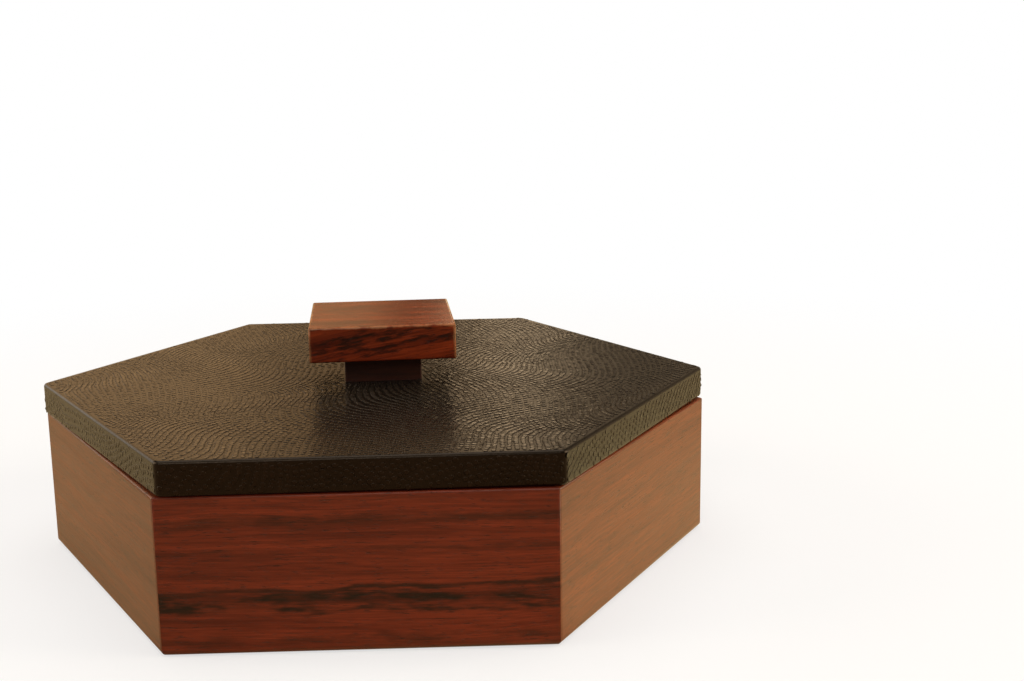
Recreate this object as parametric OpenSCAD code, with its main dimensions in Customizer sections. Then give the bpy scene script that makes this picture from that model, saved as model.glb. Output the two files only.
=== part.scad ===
// Hexagonal lidded box: six mitred walls on a captured bottom panel, and a leather-covered
// lid that lifts off by a square knob. Millimetres, +Z up. The origin is the centre of the
// outline, on the surface that the box stands on. The front wall faces -Y.

/* [Box] */
// Length of one side of the hexagonal outline
side = 100; // [70:1:160]
// Height of the walls
wall_h = 41.8; // [34:0.2:90]
// Thickness of the walls
wall_t = 10; // [9:0.5:14]
// Radius of the upright edges where two walls meet
corner_r = 1.5; // [0.5:0.1:3]
// Radius of the eased edges round the rim
rim_r = 0.8; // [0.3:0.1:1.5]
// Radius of the rounded bottom edge
foot_r = 2.2; // [0.5:0.1:3]
// Thickness of the film of glue between two glued pieces
glue = 0.05; // [0.02:0.01:0.1]

/* [Bottom] */
// Thickness of the bottom panel
base_t = 4; // [3:0.5:6]
// Height of the bottom panel's groove above the ground
groove_z = 4; // [3:0.5:8]
// How deep the bottom panel's groove is cut into the walls
groove_depth = 4; // [3:0.5:5]
// Clearance of the bottom panel in its groove, on each side
base_play = 0.1; // [0.05:0.05:0.2]
// Thickness of the felt in the box and under the lid
felt_t = 1; // [0.5:0.1:1.5]
// Clearance between the walls and the felt in the box
felt_play = 0.3; // [0.1:0.1:0.9]

/* [Corner splines] */
// Thickness of a spline
spline_t = 2; // [1.5:0.5:3]
// Width of a spline, across the mitre
spline_w = 8; // [6:0.5:9]
// Wood left above and below a spline
spline_stop = 4; // [3:0.5:8]
// How far a spline lies inside the middle of the mitre
spline_inset = 0.8; // [0:0.1:1]

/* [Lid] */
// Thickness of the lid's board
board_t = 7; // [6:0.5:12]
// Thickness of the leather
leather_t = 1; // [0.6:0.1:1.6]
// Radius of the lid's upright edges, outside the leather
lid_corner_r = 2.4; // [2:0.1:4]
// Radius of the leather along the lid's top and bottom edges
lid_edge_r = 0.9; // [0.3:0.1:1.4]
// Gap between the closed lid and the rim
lid_gap = 0.3; // [0.2:0.1:1]
// Thickness of the panel that drops inside the walls
inset_t = 6; // [4:0.5:10]
// Play of that panel between the walls, on each side
inset_play = 0.9; // [0.6:0.1:1.5]
// How far round the lid lies in its play, from not at all (0) to touching the walls (1)
lid_twist = 0.8; // [0:0.1:0.9]
// Radius of that panel's upright edges
inset_corner_r = 3; // [1:0.5:6]
// How far the felt under the lid stays back from that panel's edge
lining_margin = 2; // [1:0.5:5]

/* [Knob] */
// Side of the square cap
cap_side = 42.6; // [32:0.2:60]
// Thickness of the cap
cap_t = 10.4; // [9:0.2:16]
// Radius of the cap's edges
cap_r = 0.7; // [0.3:0.1:1.5]
// Side of the square neck
neck_side = 22.8; // [20:0.2:30]
// Height of the neck, from the leather to the cap
neck_h = 8.2; // [7:0.2:14]
// Radius of the neck's upright edges
neck_r = 0.5; // [0.2:0.1:1]
// How far the knob is turned on the lid
knob_turn = 3; // [0:0.5:6]
// How far the knob stands to the right of the lid's centre
knob_x = 2; // [-4:0.5:4]
// How far the knob stands behind the lid's centre
knob_y = 3; // [-4:0.5:4]

/* [Knob fixings] */
// Diameter of the screw's thread
screw_d = 4; // [3:0.5:5]
// How far the screw bites into the cap
screw_bite = 6.5; // [5.5:0.5:7.5]
// Length of the screw's point
screw_point = 2.5; // [2:0.5:3.5]
// Pitch of the screw's thread
thread_pitch = 1.6; // [1.2:0.1:2]
// Depth of the screw's thread
thread_depth = 0.5; // [0.3:0.1:0.7]
// Clearance of the thread in the cap, on the radius
thread_play = 0.05; // [0.02:0.01:0.1]
// Diameter of the screw's head
head_d = 8; // [7:0.5:9]
// Height of the screw's head
head_h = 2.2; // [1.8:0.1:2.4]
// Bevel of the screw's head
head_bevel = 0.8; // [0.3:0.1:1.2]
// Length of the cross recess in the screw's head
recess_l = 4.4; // [3:0.2:5]
// Width of the cross recess
recess_w = 1; // [0.8:0.1:1.4]
// Depth of the cross recess
recess_depth = 1.4; // [1:0.1:1.6]
// Diameter of the washer
washer_d = 11; // [9.5:0.5:13]
// Thickness of the washer
washer_t = 0.8; // [0.5:0.1:1]
// Clearance round the screw, its head and its washer
screw_play = 0.2; // [0.1:0.1:0.4]
// Diameter of a dowel
dowel_d = 4; // [3:0.5:4.5]
// Distance of a dowel from the screw
dowel_offset = 6.6; // [6:0.1:7]
// How far a dowel goes into the neck, and into the cap
dowel_bite = 5.5; // [4:0.5:6]

/* [Hidden] */
eps = 0.01;
$fn = 64;

sides = 6;
turn = 360 / sides;
// Flats that round one upright edge of the outline
corner_steps = 6;
// Distance from the axis to the flat of a wall, outside and inside
outer_flat = side * cos(turn / 2);
inner_flat = outer_flat - wall_t;

// Bottom panel, its groove and the felt on it
groove_flat = inner_flat + groove_depth;
groove_h = base_t + 2 * base_play;
base_z = groove_z + base_play;
felt_z = base_z + base_t + glue;

// Corner splines
spline_z = groove_z + groove_h + spline_stop;
spline_h = wall_h - spline_stop - spline_z;
mitre_middle = (outer_flat + inner_flat) / 2 / cos(turn / 2);
spline_place = mitre_middle - spline_inset;

// Lid, from the rim upwards
lid_z = wall_h + lid_gap;
board_z = lid_z + leather_t + glue;
board_flat = outer_flat - leather_t - glue;
board_top = board_z + board_t;
lid_top = board_top + glue + leather_t;
inset_flat = inner_flat - inset_play;
inset_reach = (inner_flat - inset_corner_r) / (inset_flat - inset_corner_r);
lid_turn = lid_twist * (turn / 2 - acos(cos(turn / 2) * inset_reach));
inset_z = board_z - glue - inset_t;
// The leather is turned in under the board, up to the inset panel
turn_in_flat = inset_flat + inset_play / 2;
lining_flat = inset_flat - lining_margin;
lining_z = inset_z - glue - felt_t;

// Knob, from the screw's head upwards
head_room = screw_play + head_h + washer_t;
washer_z = board_z + head_room - washer_t;
head_z = washer_z - head_h;
neck_z = lid_top + glue;
cap_z = neck_z + neck_h;
screw_tip = cap_z + screw_bite;

// Regular outline with rounded corners, by the distance from its centre to its flats
module outline(flat, r) {
    place = (flat - r) / cos(turn / 2);
    polygon([for (i = [0 : sides - 1], a = [-turn / 2 : turn / corner_steps : turn / 2])
        place * [cos(i * turn), sin(i * turn)] + r * [cos(i * turn + a), sin(i * turn + a)]]);
}

module plate(flat, r, z, h) {
    translate([0, 0, z]) linear_extrude(h) outline(flat, r);
}

// Rectangle with rounded corners, standing on y = 0
module rounded(w, h, r) {
    translate([-w / 2 + r, 0]) square([w - 2 * r, h]);
    translate([-w / 2, r]) square([w, h - 2 * r]);
    for (x = [r - w / 2, w / 2 - r], y = [r, h - r])
        translate([x, y]) circle(r);
}

// Stands a drawing on edge and draws it out along Y
module drawn_out(length) {
    rotate([90, 0, 0]) linear_extrude(length, center = true) children();
}

// What a square corner at the origin loses when it is rounded
module corner_waste(r) {
    difference() {
        translate([-eps, -eps]) square(r + eps);
        translate([r, r]) circle(r);
    }
}

// Section through a wall, with the groove for the bottom panel
module wall_section() {
    difference() {
        translate([inner_flat, 0]) square([wall_t, wall_h]);
        translate([outer_flat, 0]) mirror([1, 0]) corner_waste(foot_r);
        translate([outer_flat, wall_h]) rotate(180) corner_waste(rim_r);
        translate([inner_flat, wall_h]) mirror([0, 1]) corner_waste(rim_r);
        translate([inner_flat - eps, groove_z]) square([groove_depth + eps, groove_h]);
    }
}

// Plan of a wall: the stretch of the outline between two mitres, less half a film of glue
module wall_plan() {
    reach = 2 * side;
    intersection() {
        rotate(turn / 2) outline(outer_flat, corner_r);
        translate([glue / 2 / sin(turn / 2), 0])
            polygon([[0, 0], reach * [cos(turn / 2), -sin(turn / 2)],
                     reach * [cos(turn / 2), sin(turn / 2)]]);
    }
}

// A spline lying across the mitre at angle 0, or its slot when it is given a gap
module spline_block(gap) {
    translate([spline_place - spline_t / 2 - gap, -spline_w / 2 - gap, spline_z - gap])
        cube([spline_t + 2 * gap, spline_w + 2 * gap, spline_h + 2 * gap]);
}

// Wall number i, counted anticlockwise from the front
module wall(i) {
    color("sienna") rotate((i - 1.5) * turn) difference() {
        intersection() {
            drawn_out(2 * side) wall_section();
            linear_extrude(wall_h) wall_plan();
        }
        for (s = [-0.5, 0.5])
            rotate(s * turn) spline_block(glue);
    }
}

// Spline at corner number i, counted anticlockwise from the right
module spline(i) {
    color("tan") rotate(i * turn) spline_block(0);
}

module base_panel() {
    color("burlywood") plate(groove_flat - base_play, base_play, base_z, base_t);
}

module base_lining() {
    color("maroon") plate(inner_flat - felt_play, felt_play, felt_z, felt_t);
}

// The lid's pieces are drawn square to the box, and laid on it turned
module on_lid() {
    rotate(lid_turn) children();
}

module at_knob() {
    translate([knob_x, knob_y, 0]) children();
}

// Clearance hole for the screw, from below the lid to the cap
module screw_hole() {
    at_knob() translate([0, 0, lining_z])
        cylinder(h = cap_z + eps - lining_z, d = screw_d + 2 * screw_play);
}

module lid_board() {
    color("burlywood") on_lid() difference() {
        plate(board_flat, lid_corner_r - leather_t, board_z, board_t);
        screw_hole();
        at_knob() translate([0, 0, board_z - eps])
            cylinder(h = head_room + eps, d = washer_d + 2 * screw_play);
    }
}

// The outside of the lid: a skin drawn tight round six pucks, one at each corner
module lid_outside() {
    place = (outer_flat - lid_corner_r) / cos(turn / 2);
    hull() for (i = [0 : sides - 1])
        rotate(i * turn) translate([place, 0, lid_z]) rotate_extrude($fn = sides * corner_steps)
            intersection() {
                rounded(2 * lid_corner_r, lid_top - lid_z, lid_edge_r);
                square([lid_corner_r, lid_top - lid_z]);
            }
}

module lid_leather() {
    color("#3a2c20") on_lid() difference() {
        lid_outside();
        plate(board_flat + glue, lid_corner_r - leather_t, board_z - glue, board_t + 2 * glue);
        plate(turn_in_flat, inset_corner_r, lid_z - eps, leather_t + 2 * eps);
        screw_hole();
    }
}

module lid_inset() {
    color("burlywood") on_lid() plate(inset_flat, inset_corner_r, inset_z, inset_t);
}

module lid_lining() {
    color("maroon") on_lid() plate(lining_flat, inset_corner_r, lining_z, felt_t);
}

// A dowel on the side of the screw that s gives, or its hole when it is given a gap
module dowel(s, gap) {
    at_knob() rotate(knob_turn) translate([s * dowel_offset, 0, cap_z - dowel_bite - gap])
        cylinder(h = 2 * (dowel_bite + gap), r = dowel_d / 2 + gap);
}

module knob_neck() {
    color("#4a2417") on_lid() difference() {
        at_knob() rotate(knob_turn) translate([0, -neck_side / 2, neck_z])
            linear_extrude(neck_h - glue) rounded(neck_side, neck_side, neck_r);
        screw_hole();
        for (s = [-1, 1])
            dowel(s, glue);
    }
}

module knob_cap() {
    color("#8a4a28") on_lid() difference() {
        at_knob() rotate(knob_turn) intersection() {
            translate([0, -cap_side / 2, cap_z])
                linear_extrude(cap_t) rounded(cap_side, cap_side, cap_r);
            for_both_ways() translate([0, 0, cap_z])
                drawn_out(2 * cap_side) rounded(cap_side, cap_t, cap_r);
        }
        at_knob() translate([0, 0, cap_z - eps])
            cylinder(h = screw_bite + thread_play + eps, r = screw_d / 2 + thread_play);
        for (s = [-1, 1])
            dowel(s, glue);
    }
}

// What two copies of a bar share, one along Y and one along X
module for_both_ways() {
    intersection() {
        children();
        rotate(90) children();
    }
}

module knob_dowel(s) {
    color("wheat") on_lid() dowel(s, 0);
}

// Half the screw's outline: head, smooth shank, thread in rings and point
module screw_profile() {
    r = screw_d / 2;
    root = r - thread_depth;
    threads = floor((screw_bite - screw_point) / thread_pitch);
    polygon(concat(
        [[0, head_z], [head_d / 2 - head_bevel, head_z], [head_d / 2, head_z + head_bevel],
         [head_d / 2, washer_z], [r, washer_z], [r, cap_z], [root, cap_z]],
        [for (i = [0 : threads - 1], p = [[root, 0.2], [r, 0.5], [root, 0.8]])
            [p[0], cap_z + (i + p[1]) * thread_pitch]],
        [[root, screw_tip - screw_point], [0, screw_tip]]));
}

module knob_screw() {
    color("silver") on_lid() at_knob() difference() {
        rotate_extrude() screw_profile();
        for (a = [0, 90])
            rotate(a) translate([-recess_l / 2, -recess_w / 2, head_z - eps])
                cube([recess_l, recess_w, recess_depth + eps]);
    }
}

module knob_washer() {
    color("silver") on_lid() at_knob() translate([0, 0, washer_z]) difference() {
        cylinder(h = washer_t, d = washer_d);
        translate([0, 0, -eps]) cylinder(h = washer_t + 2 * eps, d = screw_d + 2 * screw_play);
    }
}

wall(0);  // wall_front
wall(1);  // wall_front_right
wall(2);  // wall_back_right
wall(3);  // wall_back
wall(4);  // wall_back_left
wall(5);  // wall_front_left
spline(0);  // spline_right
spline(1);  // spline_back_right
spline(2);  // spline_back_left
spline(3);  // spline_left
spline(4);  // spline_front_left
spline(5);  // spline_front_right
base_panel();
base_lining();
lid_board();
lid_leather();
lid_inset();
lid_lining();
knob_neck();
knob_cap();
knob_dowel(-1);  // knob_dowel_left
knob_dowel(1);  // knob_dowel_right
knob_screw();
knob_washer();
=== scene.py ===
# Hexagonal keepsake box: six mitred hardwood walls, a felt-lined bottom, and a lid wrapped in
# embossed leather that lifts off by a square wooden knob. Metres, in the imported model's frame.
import math

import bmesh
import bpy
from mathutils import Matrix, Vector


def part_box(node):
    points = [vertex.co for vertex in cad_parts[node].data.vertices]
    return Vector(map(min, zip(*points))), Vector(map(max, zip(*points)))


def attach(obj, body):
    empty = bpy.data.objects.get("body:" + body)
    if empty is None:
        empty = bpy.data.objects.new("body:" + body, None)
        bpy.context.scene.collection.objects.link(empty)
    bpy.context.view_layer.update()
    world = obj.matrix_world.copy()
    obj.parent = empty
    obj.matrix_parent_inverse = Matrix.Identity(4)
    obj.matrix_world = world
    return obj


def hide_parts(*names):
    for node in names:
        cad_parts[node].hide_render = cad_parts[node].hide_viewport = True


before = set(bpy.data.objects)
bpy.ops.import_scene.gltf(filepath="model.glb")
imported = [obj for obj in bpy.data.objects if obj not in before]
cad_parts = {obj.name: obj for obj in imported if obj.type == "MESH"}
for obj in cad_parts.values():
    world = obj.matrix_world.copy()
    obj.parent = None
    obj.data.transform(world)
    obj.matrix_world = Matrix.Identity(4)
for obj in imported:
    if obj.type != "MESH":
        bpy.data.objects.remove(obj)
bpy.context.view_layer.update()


# ---- Walls -------------------------------------------------------------------------------
# Six lengths of dark-streaked red-brown hardwood, cut from one board with the grain running
# round the box, mitred at sixty degrees, glued, eased on their edges and lacquered satin. Their
# colours differ partly as painted light and shade, set out at the table of walls below.

WALL_TURN = math.radians(60)
# Each wall shows another stretch of the board, this much further along
BOARD_STEP = 0.37
GRAIN_SWAY = 0.006
STREAK_WANDER = 0.0045
STREAK_FRAY = 3.2
STREAK_FADE = 0.0008
STREAK_COLOUR = (0.018, 0.006, 0.004, 1)
PORE_COLOUR = (0.012, 0.005, 0.003, 1)
# The paler colour painted on the cap's edges, partly as wear and partly as a painted highlight
WEAR_AND_HIGHLIGHT_COLOUR = (0.52, 0.27, 0.12, 1)
LACQUER_RELIEF = 0.00003
WELD = 1e-6
LEVEL = math.radians(0.2)
SHARP = math.radians(32)


def plain(piece):
    """Bakes a piece's modifiers into its mesh, so that it is a plain mesh with none left."""
    graph = bpy.context.evaluated_depsgraph_get()
    mesh = bpy.data.meshes.new_from_object(piece.evaluated_get(graph), depsgraph=graph)
    piece.modifiers.clear()
    piece.data = mesh
    mesh.name = piece.name
    return piece


def new_piece(name, mesh, finish):
    """An object at the origin with one material, linked into the scene."""
    piece = bpy.data.objects.new(name, mesh)
    bpy.context.scene.collection.objects.link(piece)
    mesh.materials.clear()
    mesh.materials.append(finish)
    return piece


def eased_copy(node, name, finish):
    """A copy of a node with its triangles joined, its flats kept flat and its eased edges smooth."""
    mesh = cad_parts[node].data.copy()
    work = bmesh.new()
    work.from_mesh(mesh)
    bmesh.ops.remove_doubles(work, verts=work.verts, dist=WELD)
    bmesh.ops.dissolve_limit(work, angle_limit=LEVEL, verts=work.verts, edges=work.edges)
    work.to_mesh(mesh)
    work.free()
    piece = new_piece(name, mesh, finish)
    mesh.polygons.foreach_set("use_smooth", [True] * len(mesh.polygons))
    mesh.set_sharp_from_angle(angle=SHARP)
    flats = piece.modifiers.new("flats", "WEIGHTED_NORMAL")
    flats.keep_sharp = True
    return plain(piece)


class Wiring:
    """Adds and joins nodes in one tree, so that a material reads as a list of steps."""

    def __init__(self, tree):
        self.tree = tree

    def node(self, kind, inputs=None, **settings):
        """A new node with its settings made and its inputs fed."""
        made = self.tree.nodes.new(kind)
        for key, value in settings.items():
            setattr(made, key, value)
        for key, value in (inputs or {}).items():
            self.feed(made.inputs[key], value)
        return made

    def feed(self, socket, value):
        """Joins another node's output to a socket, or sets the socket's own value."""
        if isinstance(value, bpy.types.NodeSocket):
            self.tree.links.new(value, socket)
        else:
            socket.default_value = value

    def math(self, operation, *values):
        """One sum on numbers."""
        made = self.node("ShaderNodeMath", operation=operation)
        for socket, value in zip(made.inputs, values):
            self.feed(socket, value)
        return made.outputs[0]

    def vector(self, operation, *values):
        """One sum on vectors."""
        made = self.node("ShaderNodeVectorMath", operation=operation)
        for socket, value in zip(made.inputs, values):
            self.feed(socket, value)
        return made.outputs[0]

    def axes(self, vector):
        """The X, Y and Z of a vector, by their names."""
        return self.node("ShaderNodeSeparateXYZ", {"Vector": vector}).outputs

    def joined(self, x=0.0, y=0.0, z=0.0):
        """A vector from its X, Y and Z."""
        return self.node("ShaderNodeCombineXYZ", {"X": x, "Y": y, "Z": z}).outputs[0]

    def length(self, vector):
        """How long a vector is."""
        made = self.node("ShaderNodeVectorMath", {0: vector}, operation="LENGTH")
        return made.outputs["Value"]

    def noise(self, vector, scale=1.0, detail=2.0, roughness=0.5):
        """Soft blotches between 0 and 1, about scale of them in a metre."""
        return self.node(
            "ShaderNodeTexNoise",
            {"Vector": vector, "Scale": scale, "Detail": detail, "Roughness": roughness},
        ).outputs["Fac"]

    def blend(self, amount, first, second, mode="MIX"):
        """first where amount is 0 and second where it is 1, by the node's colour sockets."""
        made = self.node("ShaderNodeMix", data_type="RGBA", blend_type=mode)
        self.feed(made.inputs["Factor"], amount)
        self.feed(made.inputs[6], first)
        self.feed(made.inputs[7], second)
        return made.outputs[2]

    def fade(self, value, start, end, low=0.0, high=1.0):
        """low below start, high above end, and smooth between them."""
        made = self.node("ShaderNodeMapRange", interpolation_type="SMOOTHSTEP")
        for socket, number in zip(made.inputs, (value, start, end, low, high)):
            self.feed(socket, number)
        return made.outputs[0]


def group_tree(name, inputs, outputs, kind="ShaderNodeTree"):
    """A node group with named sockets: inputs are (name, form, value), outputs (name, form)."""
    tree = bpy.data.node_groups.new(name, kind)
    face = tree.interface
    for title, form, value in inputs:
        socket = face.new_socket(name=title, in_out="INPUT", socket_type="NodeSocket" + form)
        if value is not None:
            socket.default_value = value
    for title, form in outputs:
        face.new_socket(name=title, in_out="OUTPUT", socket_type="NodeSocket" + form)
    wires = Wiring(tree)
    return wires, wires.node("NodeGroupInput").outputs, wires.node("NodeGroupOutput").inputs


def wood_figure():
    """Colour, gloss and relief of planed hardwood. Its grain runs along X of the vector, so each
    triple says how often a mark repeats in a metre along the grain and in the two across it."""
    wires, given, result = group_tree(
        "wood_figure",
        (
            ("Grain", "Vector", None),
            ("Light", "Color", (0.2, 0.05, 0.02, 1)),
            ("Dark", "Color", (0.06, 0.01, 0.005, 1)),
            ("Bands", "Float", 1.0),
        ),
        (("Color", "Color"), ("Roughness", "Float"), ("Height", "Float")),
    )
    grain = given["Grain"]
    sway = wires.noise(wires.vector("MULTIPLY", grain, (9, 22, 22)), detail=2)
    sway = wires.math("MULTIPLY", wires.math("SUBTRACT", sway, 0.5), GRAIN_SWAY)
    swayed = wires.vector("ADD", grain, wires.joined(0.0, sway, sway))
    bands = wires.noise(wires.vector("MULTIPLY", swayed, (4, 150, 150)), detail=3, roughness=0.6)
    clouds = wires.noise(wires.vector("MULTIPLY", swayed, (12, 40, 40)), detail=2)
    lines = wires.noise(wires.vector("MULTIPLY", swayed, (16, 700, 700)), detail=3, roughness=0.65)
    fibres = wires.noise(wires.vector("MULTIPLY", swayed, (90, 2600, 2600)), detail=2)
    pores = wires.noise(wires.vector("MULTIPLY", swayed, (330, 4200, 4200)), detail=1)
    tone = wires.math("ADD", wires.math("MULTIPLY", bands, 0.75), wires.math("MULTIPLY", clouds, 0.45))
    tone = wires.math("MULTIPLY_ADD", wires.math("SUBTRACT", lines, 0.5), 0.5, tone)
    tone = wires.math("MULTIPLY_ADD", wires.math("SUBTRACT", tone, 0.6), given["Bands"], 0.5)
    tone = wires.fade(tone, 0.28, 0.72)
    colour = wires.blend(tone, given["Dark"], given["Light"])
    thread = wires.fade(fibres, 0.3, 0.7, 0.8, 1.16)
    colour = wires.blend(1.0, colour, thread, "MULTIPLY")
    hole = wires.fade(pores, 0.62, 0.7)
    colour = wires.blend(wires.math("MULTIPLY", hole, 0.55), colour, PORE_COLOUR)
    wires.feed(result["Color"], colour)
    wires.feed(result["Roughness"], wires.math("MULTIPLY", lines, 0.14))
    height = wires.math("SUBTRACT", wires.math("MULTIPLY", fibres, 0.25), hole)
    wires.feed(result["Height"], wires.math("MULTIPLY_ADD", lines, 0.5, height))
    return wires.tree


def dark_streak():
    """A mask for one dark, broken streak that runs along the grain at a height across it."""
    wires, given, result = group_tree(
        "dark_streak",
        (
            ("Grain", "Vector", None),
            ("Height", "Float", 0.0),
            ("Slope", "Float", 0.0),
            ("Width", "Float", 0.001),
            ("Broken", "Float", 0.5),
            ("Strength", "Float", 1.0),
            ("Fineness", "Float", 1.0),
        ),
        (("Mask", "Float"),),
    )
    place = wires.axes(given["Grain"])
    grain = wires.node(
        "ShaderNodeVectorMath", {0: given["Grain"], "Scale": given["Fineness"]}, operation="SCALE"
    ).outputs[0]
    line = wires.math("MULTIPLY_ADD", place["X"], given["Slope"], given["Height"])
    wander = wires.noise(wires.vector("MULTIPLY", grain, (45, 20, 20)), detail=3, roughness=0.6)
    line = wires.math("MULTIPLY_ADD", wires.math("SUBTRACT", wander, 0.5), STREAK_WANDER, line)
    off = wires.math("ABSOLUTE", wires.math("SUBTRACT", place["Z"], line))
    off = wires.math("DIVIDE", off, given["Width"])
    frayed = wires.noise(wires.vector("MULTIPLY", grain, (60, 560, 560)), detail=4, roughness=0.7)
    off = wires.math("MULTIPLY_ADD", wires.math("SUBTRACT", frayed, 0.5), STREAK_FRAY, off)
    mask = wires.fade(off, 0.2, 1.3, 1.0, 0.0)
    patchy = wires.noise(wires.vector("MULTIPLY", grain, (55, 240, 240)), detail=3, roughness=0.6)
    kept = wires.fade(patchy, 0.42, 0.6, wires.math("SUBTRACT", 1.0, given["Broken"]), 1.0)
    mask = wires.math("MULTIPLY", wires.math("MULTIPLY", mask, kept), given["Strength"])
    wires.feed(result["Mask"], mask)
    return wires.tree


def placed_group(wires, tree, inputs):
    """One use of a node group, with its own values."""
    made = wires.node("ShaderNodeGroup", node_tree=tree)
    for key, value in inputs.items():
        wires.feed(made.inputs[key], value)
    return made.outputs


def new_finish(name):
    """An empty material: its wiring, its shader node and its object coordinates."""
    finish = bpy.data.materials.new(name)
    finish.use_nodes = True
    shader = finish.node_tree.nodes["Principled BSDF"]
    wires = Wiring(finish.node_tree)
    return finish, wires, shader, wires.node("ShaderNodeTexCoord").outputs["Object"]


def turned(wires, vector, shift=(0, 0, 0), turn=(0, 0, 0)):
    """Coordinates that are moved by shift after they are turned."""
    return wires.node(
        "ShaderNodeMapping", {"Vector": vector, "Location": shift, "Rotation": turn}
    ).outputs[0]


def relief(wires, shader, height, depth):
    """Raises the surface of a shader by height, where 1 is depth in metres."""
    bump = wires.node("ShaderNodeBump", {"Height": height, "Strength": 1.0, "Distance": depth})
    wires.feed(shader.inputs["Normal"], bump.outputs[0])


WOOD_FIGURE = wood_figure()
DARK_STREAK = dark_streak()


def wood_finish(
    name,
    light,
    dark,
    streaks=(),
    shift=(0, 0, 0),
    turn=(0, 0, 0),
    bands=1.0,
    fineness=1.0,
    ceiling=1.0,
    gloss=0.3,
    rough=0.3,
    sheen=(1, 1, 1, 1),
    worn_and_highlit=None,
):
    """Lacquered hardwood with dark streaks, each (height, slope, width, broken, strength), which
    fade out just below ceiling. Where the function given last gives a mask, it is painted paler,
    partly as wear and partly as a highlight."""
    finish, wires, shader, place = new_finish(name)
    grain = turned(wires, place, shift, turn)
    wood = placed_group(
        wires, WOOD_FIGURE, {"Grain": grain, "Light": light, "Dark": dark, "Bands": bands}
    )
    colour = wood["Color"]
    streaked = wires.fade(wires.axes(place)["Z"], ceiling - STREAK_FADE, ceiling, 1.0, 0.0)
    for height, slope, width, broken, strength in streaks:
        mask = placed_group(
            wires,
            DARK_STREAK,
            {
                "Grain": grain,
                "Height": height,
                "Slope": slope,
                "Width": width,
                "Broken": broken,
                "Strength": strength,
                "Fineness": fineness,
            },
        )["Mask"]
        colour = wires.blend(wires.math("MULTIPLY", mask, streaked), colour, STREAK_COLOUR)
    if worn_and_highlit:
        colour = wires.blend(worn_and_highlit(wires, place), colour, WEAR_AND_HIGHLIGHT_COLOUR)
    wires.feed(shader.inputs["Base Color"], colour)
    wires.feed(shader.inputs["Roughness"], wires.math("ADD", wood["Roughness"], rough))
    shader.inputs["Specular IOR Level"].default_value = gloss
    shader.inputs["Specular Tint"].default_value = sheen
    relief(wires, shader, wood["Height"], LACQUER_RELIEF)
    return finish


# Each wall, from the front round to the right: its light and dark wood, then its streaks, each
# (height above the ground, slope, width, broken, strength). Part of what sets the walls apart is
# painted light: the front wall is painted redder, as in shade, the front-left wall darker, as in
# less light, and the front-right wall yellower, as under a warm sheen. The rest is the boards' own
# variation.
WALL_WOOD = {
    "wall_front": (
        (0.240, 0.036, 0.014, 1),
        (0.095, 0.012, 0.006, 1),
        (
            (0.0348, 0.004, 0.0018, 0.5, 0.65),
            (0.0272, 0.0, 0.0007, 0.9, 0.45),
            (0.0172, 0.012, 0.0008, 0.35, 0.85),
            (0.0142, 0.004, 0.0021, 0.72, 1.0),
            (0.0118, -0.010, 0.0013, 0.85, 0.9),
            (0.0040, 0.0, 0.0012, 0.9, 0.5),
        ),
    ),
    "wall_front_right": (
        (0.248, 0.058, 0.019, 1),
        (0.148, 0.030, 0.011, 1),
        ((0.0045, 0.14, 0.0012, 0.6, 0.5), (0.0300, 0.02, 0.0006, 0.9, 0.25)),
    ),
    "wall_back_right": (
        (0.250, 0.060, 0.022, 1),
        (0.120, 0.024, 0.010, 1),
        ((0.0260, 0.03, 0.0013, 0.7, 0.7), (0.0100, -0.02, 0.0009, 0.8, 0.5)),
    ),
    "wall_back": (
        (0.23, 0.055, 0.020, 1),
        (0.100, 0.020, 0.008, 1),
        ((0.0290, -0.01, 0.0012, 0.7, 0.6), (0.0120, 0.02, 0.0015, 0.7, 0.8)),
    ),
    "wall_back_left": (
        (0.250, 0.060, 0.022, 1),
        (0.120, 0.024, 0.010, 1),
        ((0.0200, -0.03, 0.0014, 0.7, 0.7),),
    ),
    "wall_front_left": (
        (0.200, 0.050, 0.017, 1),
        (0.115, 0.026, 0.010, 1),
        ((0.0085, 0.05, 0.0013, 0.6, 0.5), (0.0150, 0.03, 0.0006, 0.9, 0.25)),
    ),
}

for number, (node, (light, dark, streaks)) in enumerate(WALL_WOOD.items()):
    finish = wood_finish(
        node + "_wood",
        light,
        dark,
        streaks,
        shift=(BOARD_STEP * number, 0, 0),
        turn=(0, 0, -number * WALL_TURN),
        gloss=0.42,
        sheen=(0.84, 1.0, 0.88, 1),
    )
    wall = eased_copy(node, node + "_lacquered", finish)
    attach(wall, "box")
    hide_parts(node)


# ---- Corner splines ----------------------------------------------------------------------
# Loose beech tongues, one across each mitre, glued into slots in both walls. They are hidden
# once the box is together.

SPLINES = (
    "spline_right",
    "spline_back_right",
    "spline_back_left",
    "spline_left",
    "spline_front_left",
    "spline_front_right",
)


def refinish(nodes, finish):
    """Gives nodes that keep their own shape a new material."""
    for node in nodes:
        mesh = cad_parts[node].data
        mesh.materials.clear()
        mesh.materials.append(finish)


UPRIGHT = (0, math.radians(90), 0)
beech = wood_finish("beech", (0.62, 0.42, 0.25, 1), (0.45, 0.28, 0.15, 1), turn=UPRIGHT, bands=0.6)
refinish(SPLINES, beech)


# ---- Bottom panel ------------------------------------------------------------------------
# Birch plywood, captured in a groove round the walls. Its veneers show as thin lines on the
# edge, and its underside is only sanded.

VENEER = 0.0013
SANDED_RELIEF = 0.00005


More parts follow.
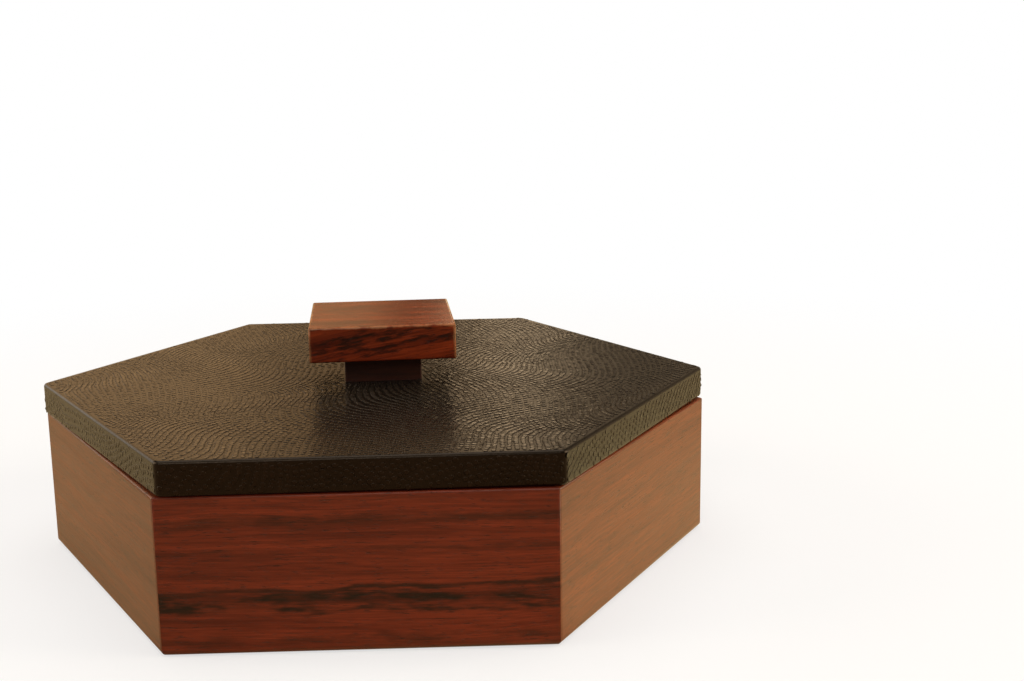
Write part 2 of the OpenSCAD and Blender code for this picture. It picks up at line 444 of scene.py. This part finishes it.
def plywood_finish(name, light, dark):
    """Sanded plywood, whose every other veneer shows darker where a face stands upright."""
    finish, wires, shader, place = new_finish(name)
    wood = placed_group(
        wires, WOOD_FIGURE, {"Grain": place, "Light": light, "Dark": dark, "Bands": 0.5}
    )
    ply = wires.math("FRACT", wires.math("DIVIDE", wires.axes(place)["Z"], 2 * VENEER))
    facing = wires.axes(wires.node("ShaderNodeNewGeometry").outputs["Normal"])["Z"]
    edge = wires.fade(wires.math("ABSOLUTE", facing), 0.3, 0.7, 1.0, 0.0)
    layer = wires.math("MULTIPLY", wires.fade(ply, 0.45, 0.55, 0.0, 0.55), edge)
    colour = wires.blend(layer, wood["Color"], dark)
    wires.feed(shader.inputs["Base Color"], colour)
    shader.inputs["Roughness"].default_value = 0.7
    shader.inputs["Specular IOR Level"].default_value = 0.25
    relief(wires, shader, wood["Height"], SANDED_RELIEF)
    return finish


plywood = plywood_finish("plywood", (0.60, 0.43, 0.26, 1), (0.36, 0.23, 0.12, 1))
refinish(("base_panel",), plywood)


# ---- Felt in the box ---------------------------------------------------------------------
# A sheet of dark wool felt, glued on the bottom panel. Its matted fibres lie in all
# directions, and it is cut a hair short of the walls.

FELT_RELIEF = 0.0007
HALF_TURN = WALL_TURN / 2


def felt_finish(name, colour, pale):
    """Wool felt: matted fibres in darker and paler clumps, with a little fuzz."""
    finish, wires, shader, place = new_finish(name)
    matted = wires.noise(place, scale=900, detail=4, roughness=0.7)
    clumps = wires.noise(place, scale=160, detail=3, roughness=0.6)
    fibre = wires.node(
        "ShaderNodeTexNoise",
        {"Vector": place, "Scale": 2600.0, "Detail": 2.0, "Distortion": 2.5},
    ).outputs["Fac"]
    fuzz = wires.math("MULTIPLY_ADD", fibre, 0.6, wires.math("MULTIPLY", matted, 0.4))
    tone = wires.math("MULTIPLY_ADD", clumps, 0.12, fuzz)
    wires.feed(shader.inputs["Base Color"], wires.blend(wires.fade(tone, 0.46, 0.68), colour, pale))
    shader.inputs["Roughness"].default_value = 0.95
    shader.inputs["Specular IOR Level"].default_value = 0.1
    shader.inputs["Sheen Weight"].default_value = 0.15
    shader.inputs["Sheen Roughness"].default_value = 0.5
    relief(wires, shader, fuzz, FELT_RELIEF)
    return finish


felt = felt_finish("felt", (0.030, 0.011, 0.008, 1), (0.105, 0.044, 0.032, 1))


def felt_sheet(node, name, body):
    """A node's sheet in felt, glued on a board of the same body."""
    piece = eased_copy(node, name, felt)
    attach(piece, body)
    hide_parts(node)


felt_sheet("base_lining", "box_felt", "box")


# ---- Lid board ---------------------------------------------------------------------------
# The board that the leather is stretched over, with a counterbore below for the knob's
# screw. The leather and the inset panel cover it.

refinish(("lid_board",), plywood)


# ---- Lid leather -------------------------------------------------------------------------
# One skin of dark brown calf, embossed with rows of small scales, stretched over the board,
# folded down its edges and turned in underneath. The scales are a little paler, rubbed on top.

SCALE_PITCH = 0.0017
ROW_SHARE = 0.9
SCALE_RADIUS = 0.00088
SCALE_CROWN = 0.66
SCALE_RELIEF = 0.00014
EDGE_SCALE_RELIEF = 0.6 * SCALE_RELIEF
SCALE_SINK = 0.00004
SCATTER = 0.00018
LEAN = 0.05
SMALLEST = (0.78, 0.76, 0.6)
LARGEST = (1.08, 1.04, 1.3)
# The sheet of scales is this many times as wide as the lid from its centre to a flat
SHEET_SHARE = 2.7
# The rows sway in long curves, each (length, size, share of x, share of y, start)
SWAY_ALONG = ((0.098, 0.0075, 0.1, 1.0, 1.7), (0.058, 0.0024, -0.6, 0.7, 0.3))
SWAY_ACROSS = ((0.086, 0.0095, 1.0, 0.15, 0.6), (0.047, 0.0025, 0.8, -0.5, 2.1))
# How many scale radii stay bare beside the bend and before a tip
BEND_CLEAR = 0.6
TIP_CLEAR = 1.6
# The press bit less deep on the left, up to full depth near the middle
SHALLOW_UP_TO = -0.06
FULL_FROM = 0.005
EDGE_RADIUS = 0.0009
LID_CORNER = 0.0024
LEATHER_RELIEF = 0.00003
# The knob is turned this much further than the lid
KNOB_TWIST = math.radians(3)
# The boxes of the lid's leather and of the knob's neck
lid_low, lid_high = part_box("lid_leather")
neck_low, neck_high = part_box("knob_neck")
# The lid is as wide across its flats as the walls are
lid_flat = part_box("wall_back")[1].y
# It lies a little turned in its play, which its corners show
corner_reach = (lid_flat - LID_CORNER) / math.cos(HALF_TURN)
lid_turn = HALF_TURN - math.acos((lid_high.y - LID_CORNER) / corner_reach)
knob_turn = lid_turn + KNOB_TWIST
knob_centre = (neck_low + neck_high) / 2


def half_side(low, high):
    """Half the side of a square block that is turned with the knob, from its box."""
    return (high.x - low.x) / 2 / (math.cos(knob_turn) + math.sin(knob_turn))


def leather_finish(name, colour, pale, rough, gloss=0.28):
    """Dyed calf: cloudy in colour, finely grained, and duller the higher rough is."""
    finish, wires, shader, place = new_finish(name)
    clouds = wires.noise(place, scale=30, detail=4, roughness=0.6)
    fine = wires.noise(place, scale=2400, detail=3, roughness=0.7)
    speck = wires.noise(place, scale=420, detail=2)
    tone = wires.math("MULTIPLY_ADD", clouds, 0.6, wires.math("MULTIPLY", speck, 0.45))
    wires.feed(shader.inputs["Base Color"], wires.blend(wires.fade(tone, 0.3, 0.75), colour, pale))
    dull = wires.math("MULTIPLY_ADD", fine, 0.2, rough - 0.1)
    wires.feed(shader.inputs["Roughness"], wires.math("MULTIPLY_ADD", clouds, 0.08, dull))
    shader.inputs["Specular IOR Level"].default_value = gloss
    shader.inputs["Specular Tint"].default_value = (1.0, 0.76, 0.56, 1)
    relief(wires, shader, fine, LEATHER_RELIEF)
    return finish


def swung(wires, vector, angle):
    """A vector turned about the upright axis."""
    return wires.node(
        "ShaderNodeVectorRotate", {"Vector": vector, "Angle": angle}, rotation_type="Z_AXIS"
    ).outputs[0]


def strewn(wires, given, low, high):
    """A vector between low and high, another one at each point."""
    return wires.node(
        "FunctionNodeRandomValue",
        {"Min": low, "Max": high, "Seed": given["Seed"]},
        data_type="FLOAT_VECTOR",
    ).outputs["Value"]


def swayed(wires, base, x, y, waves):
    """base, pushed to and fro by each wave in turn."""
    for length, size, of_x, of_y, start in waves:
        run = wires.math("MULTIPLY_ADD", x, of_x, wires.math("MULTIPLY", y, of_y))
        phase = wires.math("MULTIPLY_ADD", run, math.tau / length, start)
        base = wires.math("MULTIPLY_ADD", wires.math("SINE", phase), size, base)
    return base


def unfolded_rows(wires, given):
    """A grid with a point for each scale, and where each lies in the rows of a flat sheet."""
    sheet = wires.math("MULTIPLY", given["Flat"], SHEET_SHARE)
    row_pitch = wires.math("MULTIPLY", given["Pitch"], ROW_SHARE)
    grid = wires.node(
        "GeometryNodeMeshGrid",
        {
            "Size X": sheet,
            "Size Y": sheet,
            "Vertices X": wires.math("DIVIDE", sheet, given["Pitch"]),
            "Vertices Y": wires.math("DIVIDE", sheet, row_pitch),
        },
    ).outputs["Mesh"]
    at = wires.axes(wires.node("GeometryNodeInputPosition").outputs[0])
    # Every other row is set over by half a pitch
    row = wires.math("ROUND", wires.math("DIVIDE", wires.math("ADD", at["Y"], sheet), row_pitch))
    half = wires.math("MULTIPLY", given["Pitch"], 0.5)
    x = wires.math("ADD", at["X"], wires.math("MULTIPLY", wires.math("MODULO", row, 2.0), half))
    y = at["Y"]
    along = swayed(wires, x, x, y, SWAY_ALONG)
    across = swayed(wires, y, x, y, SWAY_ACROSS)
    scatter = strewn(wires, given, (-SCATTER, -SCATTER, 0), (SCATTER, SCATTER, 0))
    return grid, wires.vector("ADD", wires.joined(along, across), scatter)


def folded_edge(wires, given, spread):
    """The sheet wrapped over the lid's edge. A point lies along its side of the hexagon, and
    beyond the start of a bend that is arc long. It goes to place, rise high, facing outwards."""
    # The side of the hexagon that a point belongs to, and its place across and along it
    lie = wires.axes(spread)
    around = wires.math("ARCTAN2", lie["Y"], lie["X"])
    side = wires.math("FLOOR", wires.math("DIVIDE", around, WALL_TURN))
    angle = wires.math("MULTIPLY", wires.math("ADD", side, 0.5), WALL_TURN)
    own = wires.axes(swung(wires, spread, wires.math("MULTIPLY", angle, -1.0)))
    radius = given["Edge Radius"]
    bend = wires.math("SUBTRACT", given["Flat"], radius)
    beyond = wires.math("SUBTRACT", own["X"], bend)
    past = wires.math("MAXIMUM", beyond, 0.0)
    fold = wires.math("MINIMUM", wires.math("DIVIDE", past, radius), math.pi / 2)
    arc = wires.math("MULTIPLY", radius, math.pi / 2)
    down = wires.math("MAXIMUM", wires.math("SUBTRACT", past, arc), 0.0)
    inside = wires.math("MINIMUM", own["X"], bend)
    out = wires.math("MULTIPLY_ADD", wires.math("SINE", fold), radius, inside)
    crown = wires.math("SUBTRACT", given["Top"], radius)
    rise = wires.math("MULTIPLY_ADD", wires.math("COSINE", fold), radius, crown)
    rise = wires.math("SUBTRACT", rise, down)
    outwards = wires.joined(wires.math("SINE", fold), 0.0, wires.math("COSINE", fold))
    return {
        "along": own["Y"],
        "beyond": beyond,
        "arc": arc,
        "rise": rise,
        "place": swung(wires, wires.joined(out, own["Y"], rise), angle),
        "facing": swung(wires, outwards, angle),
    }


def bare_edge(wires, given, spread, edge):
    """A mask for what is left smooth on the sheet's rim: the foot of the lid's edge, the
    stretched bend, and what lies round a corner or past a tip."""
    radius = given["Scale Radius"]
    foot_height = wires.math("ADD", given["Foot"], given["Edge Radius"])
    foot = wires.math("LESS_THAN", edge["rise"], foot_height)
    bend_half = wires.math("MULTIPLY", edge["arc"], 0.5)
    from_bend = wires.math("ABSOLUTE", wires.math("SUBTRACT", edge["beyond"], bend_half))
    bend_reach = wires.math("ADD", bend_half, wires.math("MULTIPLY", radius, BEND_CLEAR))
    stretched = wires.math("LESS_THAN", from_bend, bend_reach)
    on_edge = wires.math("GREATER_THAN", edge["beyond"], 0.0)
    side_end = wires.math("MULTIPLY", given["Flat"], math.tan(HALF_TURN))
    side_end = wires.math("SUBTRACT", side_end, radius)
    round_corner = wires.math("GREATER_THAN", wires.math("ABSOLUTE", edge["along"]), side_end)
    tip = wires.math("MULTIPLY", given["Flat"], 1 / math.cos(HALF_TURN))
    tip = wires.math("SUBTRACT", tip, wires.math("MULTIPLY", radius, TIP_CLEAR))
    # Only the top's points can be past a tip, so a metre is taken off those on the edge
    reach = wires.math("MULTIPLY_ADD", on_edge, -1.0, wires.length(spread))
    bare = wires.math("MAXIMUM", foot, stretched)
    bare = wires.math("MAXIMUM", bare, wires.math("MULTIPLY", round_corner, on_edge))
    bare = wires.math("MAXIMUM", bare, wires.math("GREATER_THAN", reach, tip))
    # Top and edge are pieces of their own, so each leaves out the other's points
    other = wires.math("ABSOLUTE", wires.math("SUBTRACT", on_edge, given["On Edge"]))
    return wires.math("MAXIMUM", bare, other)


def under_neck(wires, given, spread):
    """A mask for the square that the knob's neck stands on."""
    laid = swung(wires, spread, given["Lid Turn"])
    from_neck = wires.vector("SUBTRACT", laid, given["Neck Place"])
    own = wires.axes(swung(wires, from_neck, wires.math("MULTIPLY", given["Neck Turn"], -1.0)))
    off = wires.math(
        "MAXIMUM", wires.math("ABSOLUTE", own["X"]), wires.math("ABSOLUTE", own["Y"])
    )
    return wires.math("LESS_THAN", off, wires.math("ADD", given["Neck Half"], given["Scale Radius"]))


def one_scale(wires, given):
    """A six-sided dome with a flat crown, sunk a little into the skin."""
    dome = wires.node(
        "GeometryNodeMeshCone",
        {
            "Vertices": 6,
            "Radius Top": wires.math("MULTIPLY", given["Scale Radius"], SCALE_CROWN),
            "Radius Bottom": given["Scale Radius"],
            "Depth": wires.math("ADD", given["Relief"], SCALE_SINK),
        },
        fill_type="NGON",
    ).outputs
    smooth = wires.node(
        "GeometryNodeSetShadeSmooth", {"Geometry": dome["Mesh"], "Selection": dome["Side"]}
    ).outputs[0]
    return wires.node(
        "GeometryNodeTransform", {"Geometry": smooth, "Translation": (0, 0, -SCALE_SINK)}
    ).outputs[0]


def noted(wires, mesh, name, value, form):
    """The mesh with a value written down at each point, to be recalled once points move."""
    inputs = {"Geometry": mesh, "Name": name, "Value": value}
    return wires.node("GeometryNodeStoreNamedAttribute", inputs, data_type=form).outputs[0]


def recalled(wires, name, form):
    """A value that was noted."""
    made = wires.node("GeometryNodeInputNamedAttribute", {"Name": name}, data_type=form)
    return made.outputs["Attribute"]


def scales_on(wires, given, points):
    """One scale on each point, standing on the skin, no two quite alike."""
    leaning = wires.vector(
        "ADD",
        recalled(wires, "facing", "FLOAT_VECTOR"),
        strewn(wires, given, (-LEAN, -LEAN, -LEAN), (LEAN, LEAN, LEAN)),
    )
    stand = wires.node("FunctionNodeAlignRotationToVector", {"Vector": leaning}, axis="Z").outputs[0]
    from_middle = wires.axes(wires.node("GeometryNodeInputPosition").outputs[0])["X"]
    bite = wires.fade(from_middle, SHALLOW_UP_TO, FULL_FROM, given["Left Relief"], 1.0)
    size = strewn(wires, given, SMALLEST, LARGEST)
    return wires.node(
        "GeometryNodeInstanceOnPoints",
        {
            "Points": points,
            "Instance": one_scale(wires, given),
            "Rotation": stand,
            "Scale": wires.vector("MULTIPLY", size, wires.joined(1.0, 1.0, bite)),
        },
    ).outputs[0]


def scale_rows():
    """Low domes in staggered, swaying rows on an unfolded sheet, which is then wrapped over
    the lid's edge. Points at the edge's foot, round a corner or under the neck go."""
    wires, given, result = group_tree(
        "scale_rows",
        (
            ("Pitch", "Float", SCALE_PITCH),
            ("Scale Radius", "Float", SCALE_RADIUS),
            ("Relief", "Float", SCALE_RELIEF),
            ("Flat", "Float", lid_flat),
            ("Top", "Float", lid_high.z),
            ("Foot", "Float", lid_low.z),
            ("Edge Radius", "Float", EDGE_RADIUS),
            ("Lid Turn", "Float", lid_turn),
            ("Neck Place", "Vector", (knob_centre.x, knob_centre.y, 0)),
            ("Neck Half", "Float", half_side(neck_low, neck_high)),
            ("Neck Turn", "Float", knob_turn),
            ("On Edge", "Float", 0.0),
            ("Left Relief", "Float", 0.6),
            ("Seed", "Int", 7),
            ("Finish", "Material", None),
        ),
        (("Geometry", "Geometry"),),
        "GeometryNodeTree",
    )
    wires.tree.is_modifier = True
    grid, spread = unfolded_rows(wires, given)
    edge = folded_edge(wires, given, spread)
    bare = wires.math("MAXIMUM", bare_edge(wires, given, spread, edge), under_neck(wires, given, spread))
    # Everything is worked out on the flat sheet before its points move
    points = noted(wires, grid, "bare", bare, "FLOAT")
    points = noted(wires, points, "facing", edge["facing"], "FLOAT_VECTOR")
    points = wires.node(
        "GeometryNodeSetPosition", {"Geometry": points, "Position": edge["place"]}
    ).outputs[0]
    gone = wires.math("GREATER_THAN", recalled(wires, "bare", "FLOAT"), 0.5)
    points = wires.node(
        "GeometryNodeDeleteGeometry", {"Geometry": points, "Selection": gone}
    ).outputs[0]
    scales = scales_on(wires, given, points)
    scales = wires.node("GeometryNodeRealizeInstances", {"Geometry": scales}).outputs[0]
    scales = wires.node(
        "GeometryNodeSetMaterial", {"Geometry": scales, "Material": given["Finish"]}
    ).outputs[0]
    laid = wires.joined(z=given["Lid Turn"])
    scales = wires.node("GeometryNodeTransform", {"Geometry": scales, "Rotation": laid}).outputs[0]
    wires.feed(result["Geometry"], scales)
    return wires.tree


def grown(name, tree, finish, **inputs):
    """A piece that a Geometry Nodes tree makes, turned into a plain mesh."""
    piece = new_piece(name, bpy.data.meshes.new(name), finish)
    grower = piece.modifiers.new("grow", "NODES")
    grower.node_group = tree
    for socket in tree.interface.items_tree:
        if socket.item_type == "SOCKET" and socket.name in inputs:
            grower[socket.identifier] = inputs[socket.name]
    plain(piece)
    for note in ("bare", "facing"):
        spare = piece.data.attributes.get(note)
        if spare:
            piece.data.attributes.remove(spare)
    return piece


skin = leather_finish("leather", (0.004, 0.003, 0.002, 1), (0.009, 0.006, 0.004, 1), 0.26)
rubbed = leather_finish("leather_rubbed", (0.007, 0.005, 0.003, 1), (0.015, 0.010, 0.006, 1), 0.17)
duller = leather_finish("leather_edge", (0.008, 0.005, 0.003, 1), (0.017, 0.010, 0.006, 1), 0.2, 0.21)

cover = eased_copy("lid_leather", "lid_cover", skin)
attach(cover, "lid")
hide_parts("lid_leather")

rows = scale_rows()
for name, finish, on_edge, height in (
    ("lid_top_scales", rubbed, 0.0, SCALE_RELIEF),
    ("lid_edge_scales", duller, 1.0, EDGE_SCALE_RELIEF),
):
    scales = grown(name, rows, finish, **{"Finish": finish, "On Edge": on_edge, "Relief": height})
    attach(scales, "lid")


# ---- Inset panel -------------------------------------------------------------------------
# A plywood panel glued under the board. It drops between the walls with a little play, which
# keeps the lid in place, and it covers the head of the knob's screw.

refinish(("lid_inset",), plywood)


# ---- Felt under the lid ------------------------------------------------------------------
# The same dark felt as in the box, glued under the inset panel and cut back from its edge.

felt_sheet("lid_lining", "lid_felt", "lid")


# ---- Knob neck ---------------------------------------------------------------------------
# A small square block of the darkest wood, standing on the leather. It lifts the cap clear,
# so that fingertips fit under it.

neck_finish = wood_finish(
    "neck_wood", (0.050, 0.013, 0.006, 1), (0.016, 0.005, 0.003, 1), shift=(0.9, 0.2, 0.1)
)
neck = eased_copy("knob_neck", "neck_lacquered", neck_finish)
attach(neck, "lid")
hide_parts("knob_neck")


# ---- Knob cap ----------------------------------------------------------------------------
# A square of streaked hardwood with its edges eased and painted paler, partly as rubbing by
# fingers and partly as a painted highlight. Its black streaks rise to the right across the front,
# because it is cut askew to the grain.

CAP_GRAIN = (0, math.radians(10), -knob_turn)
# How far in from the cap's edges, how raggedly and how strongly they are painted paler, as wear and as a
# highlight
WEAR_AND_HIGHLIGHT_REACH = 0.0008
WEAR_AND_HIGHLIGHT_RAGGED = 0.0016
WEAR_AND_HIGHLIGHT_MOST = 0.42
# The cap's streaks end this far below its top
STREAKS_BELOW = 0.0003
cap_low, cap_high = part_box("knob_cap")
cap_half = half_side(cap_low, cap_high)
cap_shift = Matrix.Rotation(-knob_turn, 3, "Z") @ -knob_centre


def rubbed_and_highlit_edges(wires, place):
    """A patchy mask along the cap's upper and upright edges, which paints them paler, partly as
    wear and partly as a highlight.
    """
    own = wires.axes(turned(wires, place, cap_shift, (0, 0, -knob_turn)))
    short_x = wires.math("SUBTRACT", cap_half, wires.math("ABSOLUTE", own["X"]))
    short_y = wires.math("SUBTRACT", cap_half, wires.math("ABSOLUTE", own["Y"]))
    below_top = wires.math("SUBTRACT", cap_high.z, wires.axes(place)["Z"])
    upper = wires.math("ADD", wires.math("MINIMUM", short_x, short_y), below_top)
    nearest = wires.math("MINIMUM", upper, wires.math("ADD", short_x, short_y))
    patchy = wires.noise(place, scale=260, detail=3, roughness=0.6)
    ragged = wires.math("SUBTRACT", patchy, 0.5)
    nearest = wires.math("MULTIPLY_ADD", ragged, WEAR_AND_HIGHLIGHT_RAGGED, nearest)
    return wires.fade(nearest, 0.2 * WEAR_AND_HIGHLIGHT_REACH, WEAR_AND_HIGHLIGHT_REACH, WEAR_AND_HIGHLIGHT_MOST, 0.0)


cap_finish = wood_finish(
    "cap_wood",
    (0.265, 0.040, 0.011, 1),
    (0.078, 0.010, 0.004, 1),
    (
        (0.0668, 0.02, 0.0009, 0.97, 0.85),
        (0.0655, 0.00, 0.0009, 0.97, 0.85),
        (0.0640, 0.03, 0.0009, 0.97, 0.85),
        (0.0625, -0.02, 0.0008, 0.95, 0.85),
        (0.0606, 0.0, 0.0008, 0.9, 0.8),
    ),
    turn=CAP_GRAIN,
    bands=1.2,
    fineness=3.0,
    ceiling=cap_high.z - STREAKS_BELOW,
    gloss=0.19,
    rough=0.12,
    sheen=(0.75, 1.0, 1.0, 1),
    worn_and_highlit=rubbed_and_highlit_edges,
)
cap = eased_copy("knob_cap", "cap_lacquered", cap_finish)
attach(cap, "lid")
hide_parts("knob_cap")


# ---- Knob dowels -------------------------------------------------------------------------
# Two beech dowels, glued into the neck and the cap, which keep the one square on the other.

refinish(("knob_dowel_left", "knob_dowel_right"), beech)


# ---- Knob screw and washer ---------------------------------------------------------------
# One zinc-plated wood screw with a washer, driven from under the board through the leather
# and the neck into the cap.

PLATED_RELIEF = 0.00001


def zinc_finish():
    """Bright zinc plating, blotched and finely drawn."""
    finish, wires, shader, place = new_finish("zinc")
    brushed = wires.noise(wires.vector("MULTIPLY", place, (400, 400, 4000)), detail=3)
    blotch = wires.noise(place, scale=500, detail=2)
    colour = wires.blend(wires.fade(blotch, 0.3, 0.7), (0.52, 0.53, 0.55, 1), (0.66, 0.66, 0.64, 1))
    wires.feed(shader.inputs["Base Color"], colour)
    wires.feed(shader.inputs["Roughness"], wires.math("MULTIPLY_ADD", brushed, 0.25, 0.22))
    shader.inputs["Metallic"].default_value = 1.0
    relief(wires, shader, brushed, PLATED_RELIEF)
    return finish


refinish(("knob_screw", "knob_washer"), zinc_finish())


# ---- Stage -------------------------------------------------------------------------------
# A floor that the camera sees as plain white with the box's shadow on it, and that is a warm
# table to everything else, soft lamps, and a warm dim room.

FLOOR_REACH = 6.0
TABLE = (0.36, 0.25, 0.15, 1)
PAPER = (0.90, 0.94, 1.0, 1)
SUNLIGHT = (1.0, 0.86, 0.42, 1)
PLAIN_WHITE = (1, 1, 1, 1)


def floor_finish():
    """Lit paper near the box, and a plain white further out, for the camera only."""
    finish, wires, shader, place = new_finish("white_floor")
    ray = wires.node("ShaderNodeLightPath").outputs
    seen = ray["Is Camera Ray"]
    wires.feed(shader.inputs["Base Color"], wires.blend(seen, TABLE, PAPER))
    shader.inputs["Roughness"].default_value = 0.9
    shader.inputs["Specular IOR Level"].default_value = 0.0
    # A gloss shows a sunlit table beside and behind the box, brighter on the right
    at = wires.axes(place)
    sunlit = wires.fade(at["X"], -0.05, 0.05, 0.34, 0.88)
    sunlit = wires.math("MULTIPLY", sunlit, wires.fade(at["Y"], -0.1, -0.07))
    sunlit = wires.math("MULTIPLY", sunlit, wires.fade(at["X"], 0.165, 0.205, 1.0, 0.6))
    sunlit = wires.math("MULTIPLY", sunlit, ray["Is Glossy Ray"])
    wires.feed(shader.inputs["Emission Strength"], sunlit)
    shader.inputs["Emission Color"].default_value = SUNLIGHT
    far = wires.math("MULTIPLY", wires.fade(wires.length(place), 0.12, 0.5, 0.62, 1.0), seen)
    white = wires.node("ShaderNodeEmission", {"Color": PLAIN_WHITE, "Strength": 1.0})
    mixed = wires.node(
        "ShaderNodeMixShader", {"Fac": far, 1: shader.outputs["BSDF"], 2: white.outputs[0]}
    )
    output = finish.node_tree.nodes["Material Output"]
    wires.feed(output.inputs["Surface"], mixed.outputs[0])
    return finish


floor_mesh = bpy.data.meshes.new("floor")
floor_mesh.from_pydata(
    [(x * FLOOR_REACH, y * FLOOR_REACH, 0) for x, y in ((-1, -1), (1, -1), (1, 1), (-1, 1))],
    [],
    [(0, 1, 2, 3)],
)
floor = new_piece("floor", floor_mesh, floor_finish())


def lamp(name, place, aim, size, power, colour):
    """A soft oblong lamp at place, turned to face aim."""
    light = bpy.data.lights.new(name, "AREA")
    light.shape = "RECTANGLE"
    light.size, light.size_y = size
    light.energy = power
    light.color = colour
    made = bpy.data.objects.new(name, light)
    bpy.context.scene.collection.objects.link(made)
    made.location = place
    made.rotation_euler = (Vector(aim) - Vector(place)).to_track_quat("-Z", "Y").to_euler()


GOLD = (1.0, 0.64, 0.32)
WARM = (1.0, 0.84, 0.64)
WHITE = (1.0, 0.97, 0.93)
CENTRE = (0, 0, 0.03)
lamp("overhead", (0.0, 0.1, 1.6), CENTRE, (1.6, 1.6), 15.5, WHITE)
lamp("behind", (-0.75, 1.4, 0.6), CENTRE, (1.1, 0.6), 1.2, GOLD)
lamp("right", (1.25, -0.1, 0.5), CENTRE, (0.9, 0.8), 13, WARM)
lamp("left", (-1.25, -0.1, 0.5), CENTRE, (0.9, 0.8), 9, WARM)
lamp("front", (-0.3, -1.6, 0.9), CENTRE, (0.8, 0.6), 6, WHITE)

# How bright the room is as light on the box, and how dark and how bright it looks in a gloss
ROOM_LIGHT = 0.22
ROOM_DARK = 0.04
ROOM_BRIGHT = 0.62
LOW_SUN = (1.0, 0.60, 0.28, 1)
PALER_SUN = (1.0, 0.74, 0.46, 1)
DAYLIGHT = (1.0, 0.88, 0.74, 1)


def seen_in_gloss(wires):
    """What a gloss shows: a room that is bright low down behind the box and dark elsewhere,
    with a dark pillar in the bright part and a window on the left. Its brightness and colour."""
    toward = wires.axes(wires.node("ShaderNodeTexCoord").outputs["Generated"])
    behind = wires.fade(toward["Y"], 0.1, 0.75)
    behind = wires.math("MULTIPLY", behind, wires.fade(toward["Z"], 0.2, 0.6, 1.0, 0.0))
    left_side = wires.fade(toward["X"], -0.08, -0.04)
    pillar = wires.math("MULTIPLY", left_side, wires.fade(toward["X"], -0.02, 0.01, 1.0, 0.0))
    behind = wires.math("MULTIPLY", behind, wires.math("MULTIPLY_ADD", pillar, -0.8, 1.0))
    # From left to right, each (start, end, times) changes how bright it is from there on
    for start, end, times in ((-0.03, 0.02, 2.9), (0.05, 0.078, 0.12), (0.12, 0.2, 2.0)):
        behind = wires.math("MULTIPLY", behind, wires.fade(toward["X"], start, end, 1.0, times))
    window = wires.fade(toward["X"], -0.62, -0.44, 1.0, 0.0)
    behind = wires.math("MULTIPLY", behind, wires.math("MULTIPLY_ADD", window, 1.6, 1.0))
    warmth = wires.blend(wires.fade(toward["X"], -0.06, 0.04), LOW_SUN, PALER_SUN)
    return behind, wires.blend(window, warmth, DAYLIGHT)


world = bpy.data.worlds.new("room")
bpy.context.scene.world = world
world.use_nodes = True
wires = Wiring(world.node_tree)
room = world.node_tree.nodes["Background"]
ray = wires.node("ShaderNodeLightPath").outputs
brightness, colour = seen_in_gloss(wires)
wires.feed(room.inputs["Color"], colour)
shown = wires.math("MULTIPLY_ADD", brightness, ROOM_BRIGHT, ROOM_DARK - ROOM_LIGHT)
strength = wires.math("MULTIPLY_ADD", ray["Is Glossy Ray"], shown, ROOM_LIGHT)
wires.feed(room.inputs["Strength"], strength)
white = wires.node("ShaderNodeBackground", {"Color": PLAIN_WHITE, "Strength": 1.0})
seen = wires.math("MAXIMUM", ray["Is Camera Ray"], ray["Is Transmission Ray"])
mixed = wires.node("ShaderNodeMixShader", {"Fac": seen, 1: room.outputs[0], 2: white.outputs[0]})
wires.feed(world.node_tree.nodes["World Output"].inputs["Surface"], mixed.outputs[0])
bpy.context.scene.view_settings.view_transform = "Standard"


# ---- Camera ------------------------------------------------------------------------------
# A normal lens, in front of the box and about ten centimetres above its lid, a little to the
# right of its middle, looking down on it and rolled by less than a degree.

CAMERA_PLACE = (0.0278, -0.4127, 0.1477)
CAMERA_BEARING = math.radians(1.90)
CAMERA_TILT = math.radians(11.86)
CAMERA_ROLL = math.radians(-0.78)
CAMERA_LENS = 48.8

camera = bpy.data.objects.new("camera", bpy.data.cameras.new("camera"))
bpy.context.scene.collection.objects.link(camera)
camera.data.lens = CAMERA_LENS
camera.data.clip_start = 0.01
camera.data.clip_end = 50
ahead = Vector(
    (
        math.sin(CAMERA_BEARING) * math.cos(CAMERA_TILT),
        math.cos(CAMERA_BEARING) * math.cos(CAMERA_TILT),
        -math.sin(CAMERA_TILT),
    )
)
level = ahead.cross(Vector((0, 0, 1))).normalized()
upright = level.cross(ahead)
across = math.cos(CAMERA_ROLL) * level + math.sin(CAMERA_ROLL) * upright
above = math.cos(CAMERA_ROLL) * upright - math.sin(CAMERA_ROLL) * level
camera.matrix_world = Matrix.LocRotScale(
    Vector(CAMERA_PLACE), Matrix((across, above, -ahead)).transposed(), None
)
bpy.context.scene.camera = camera
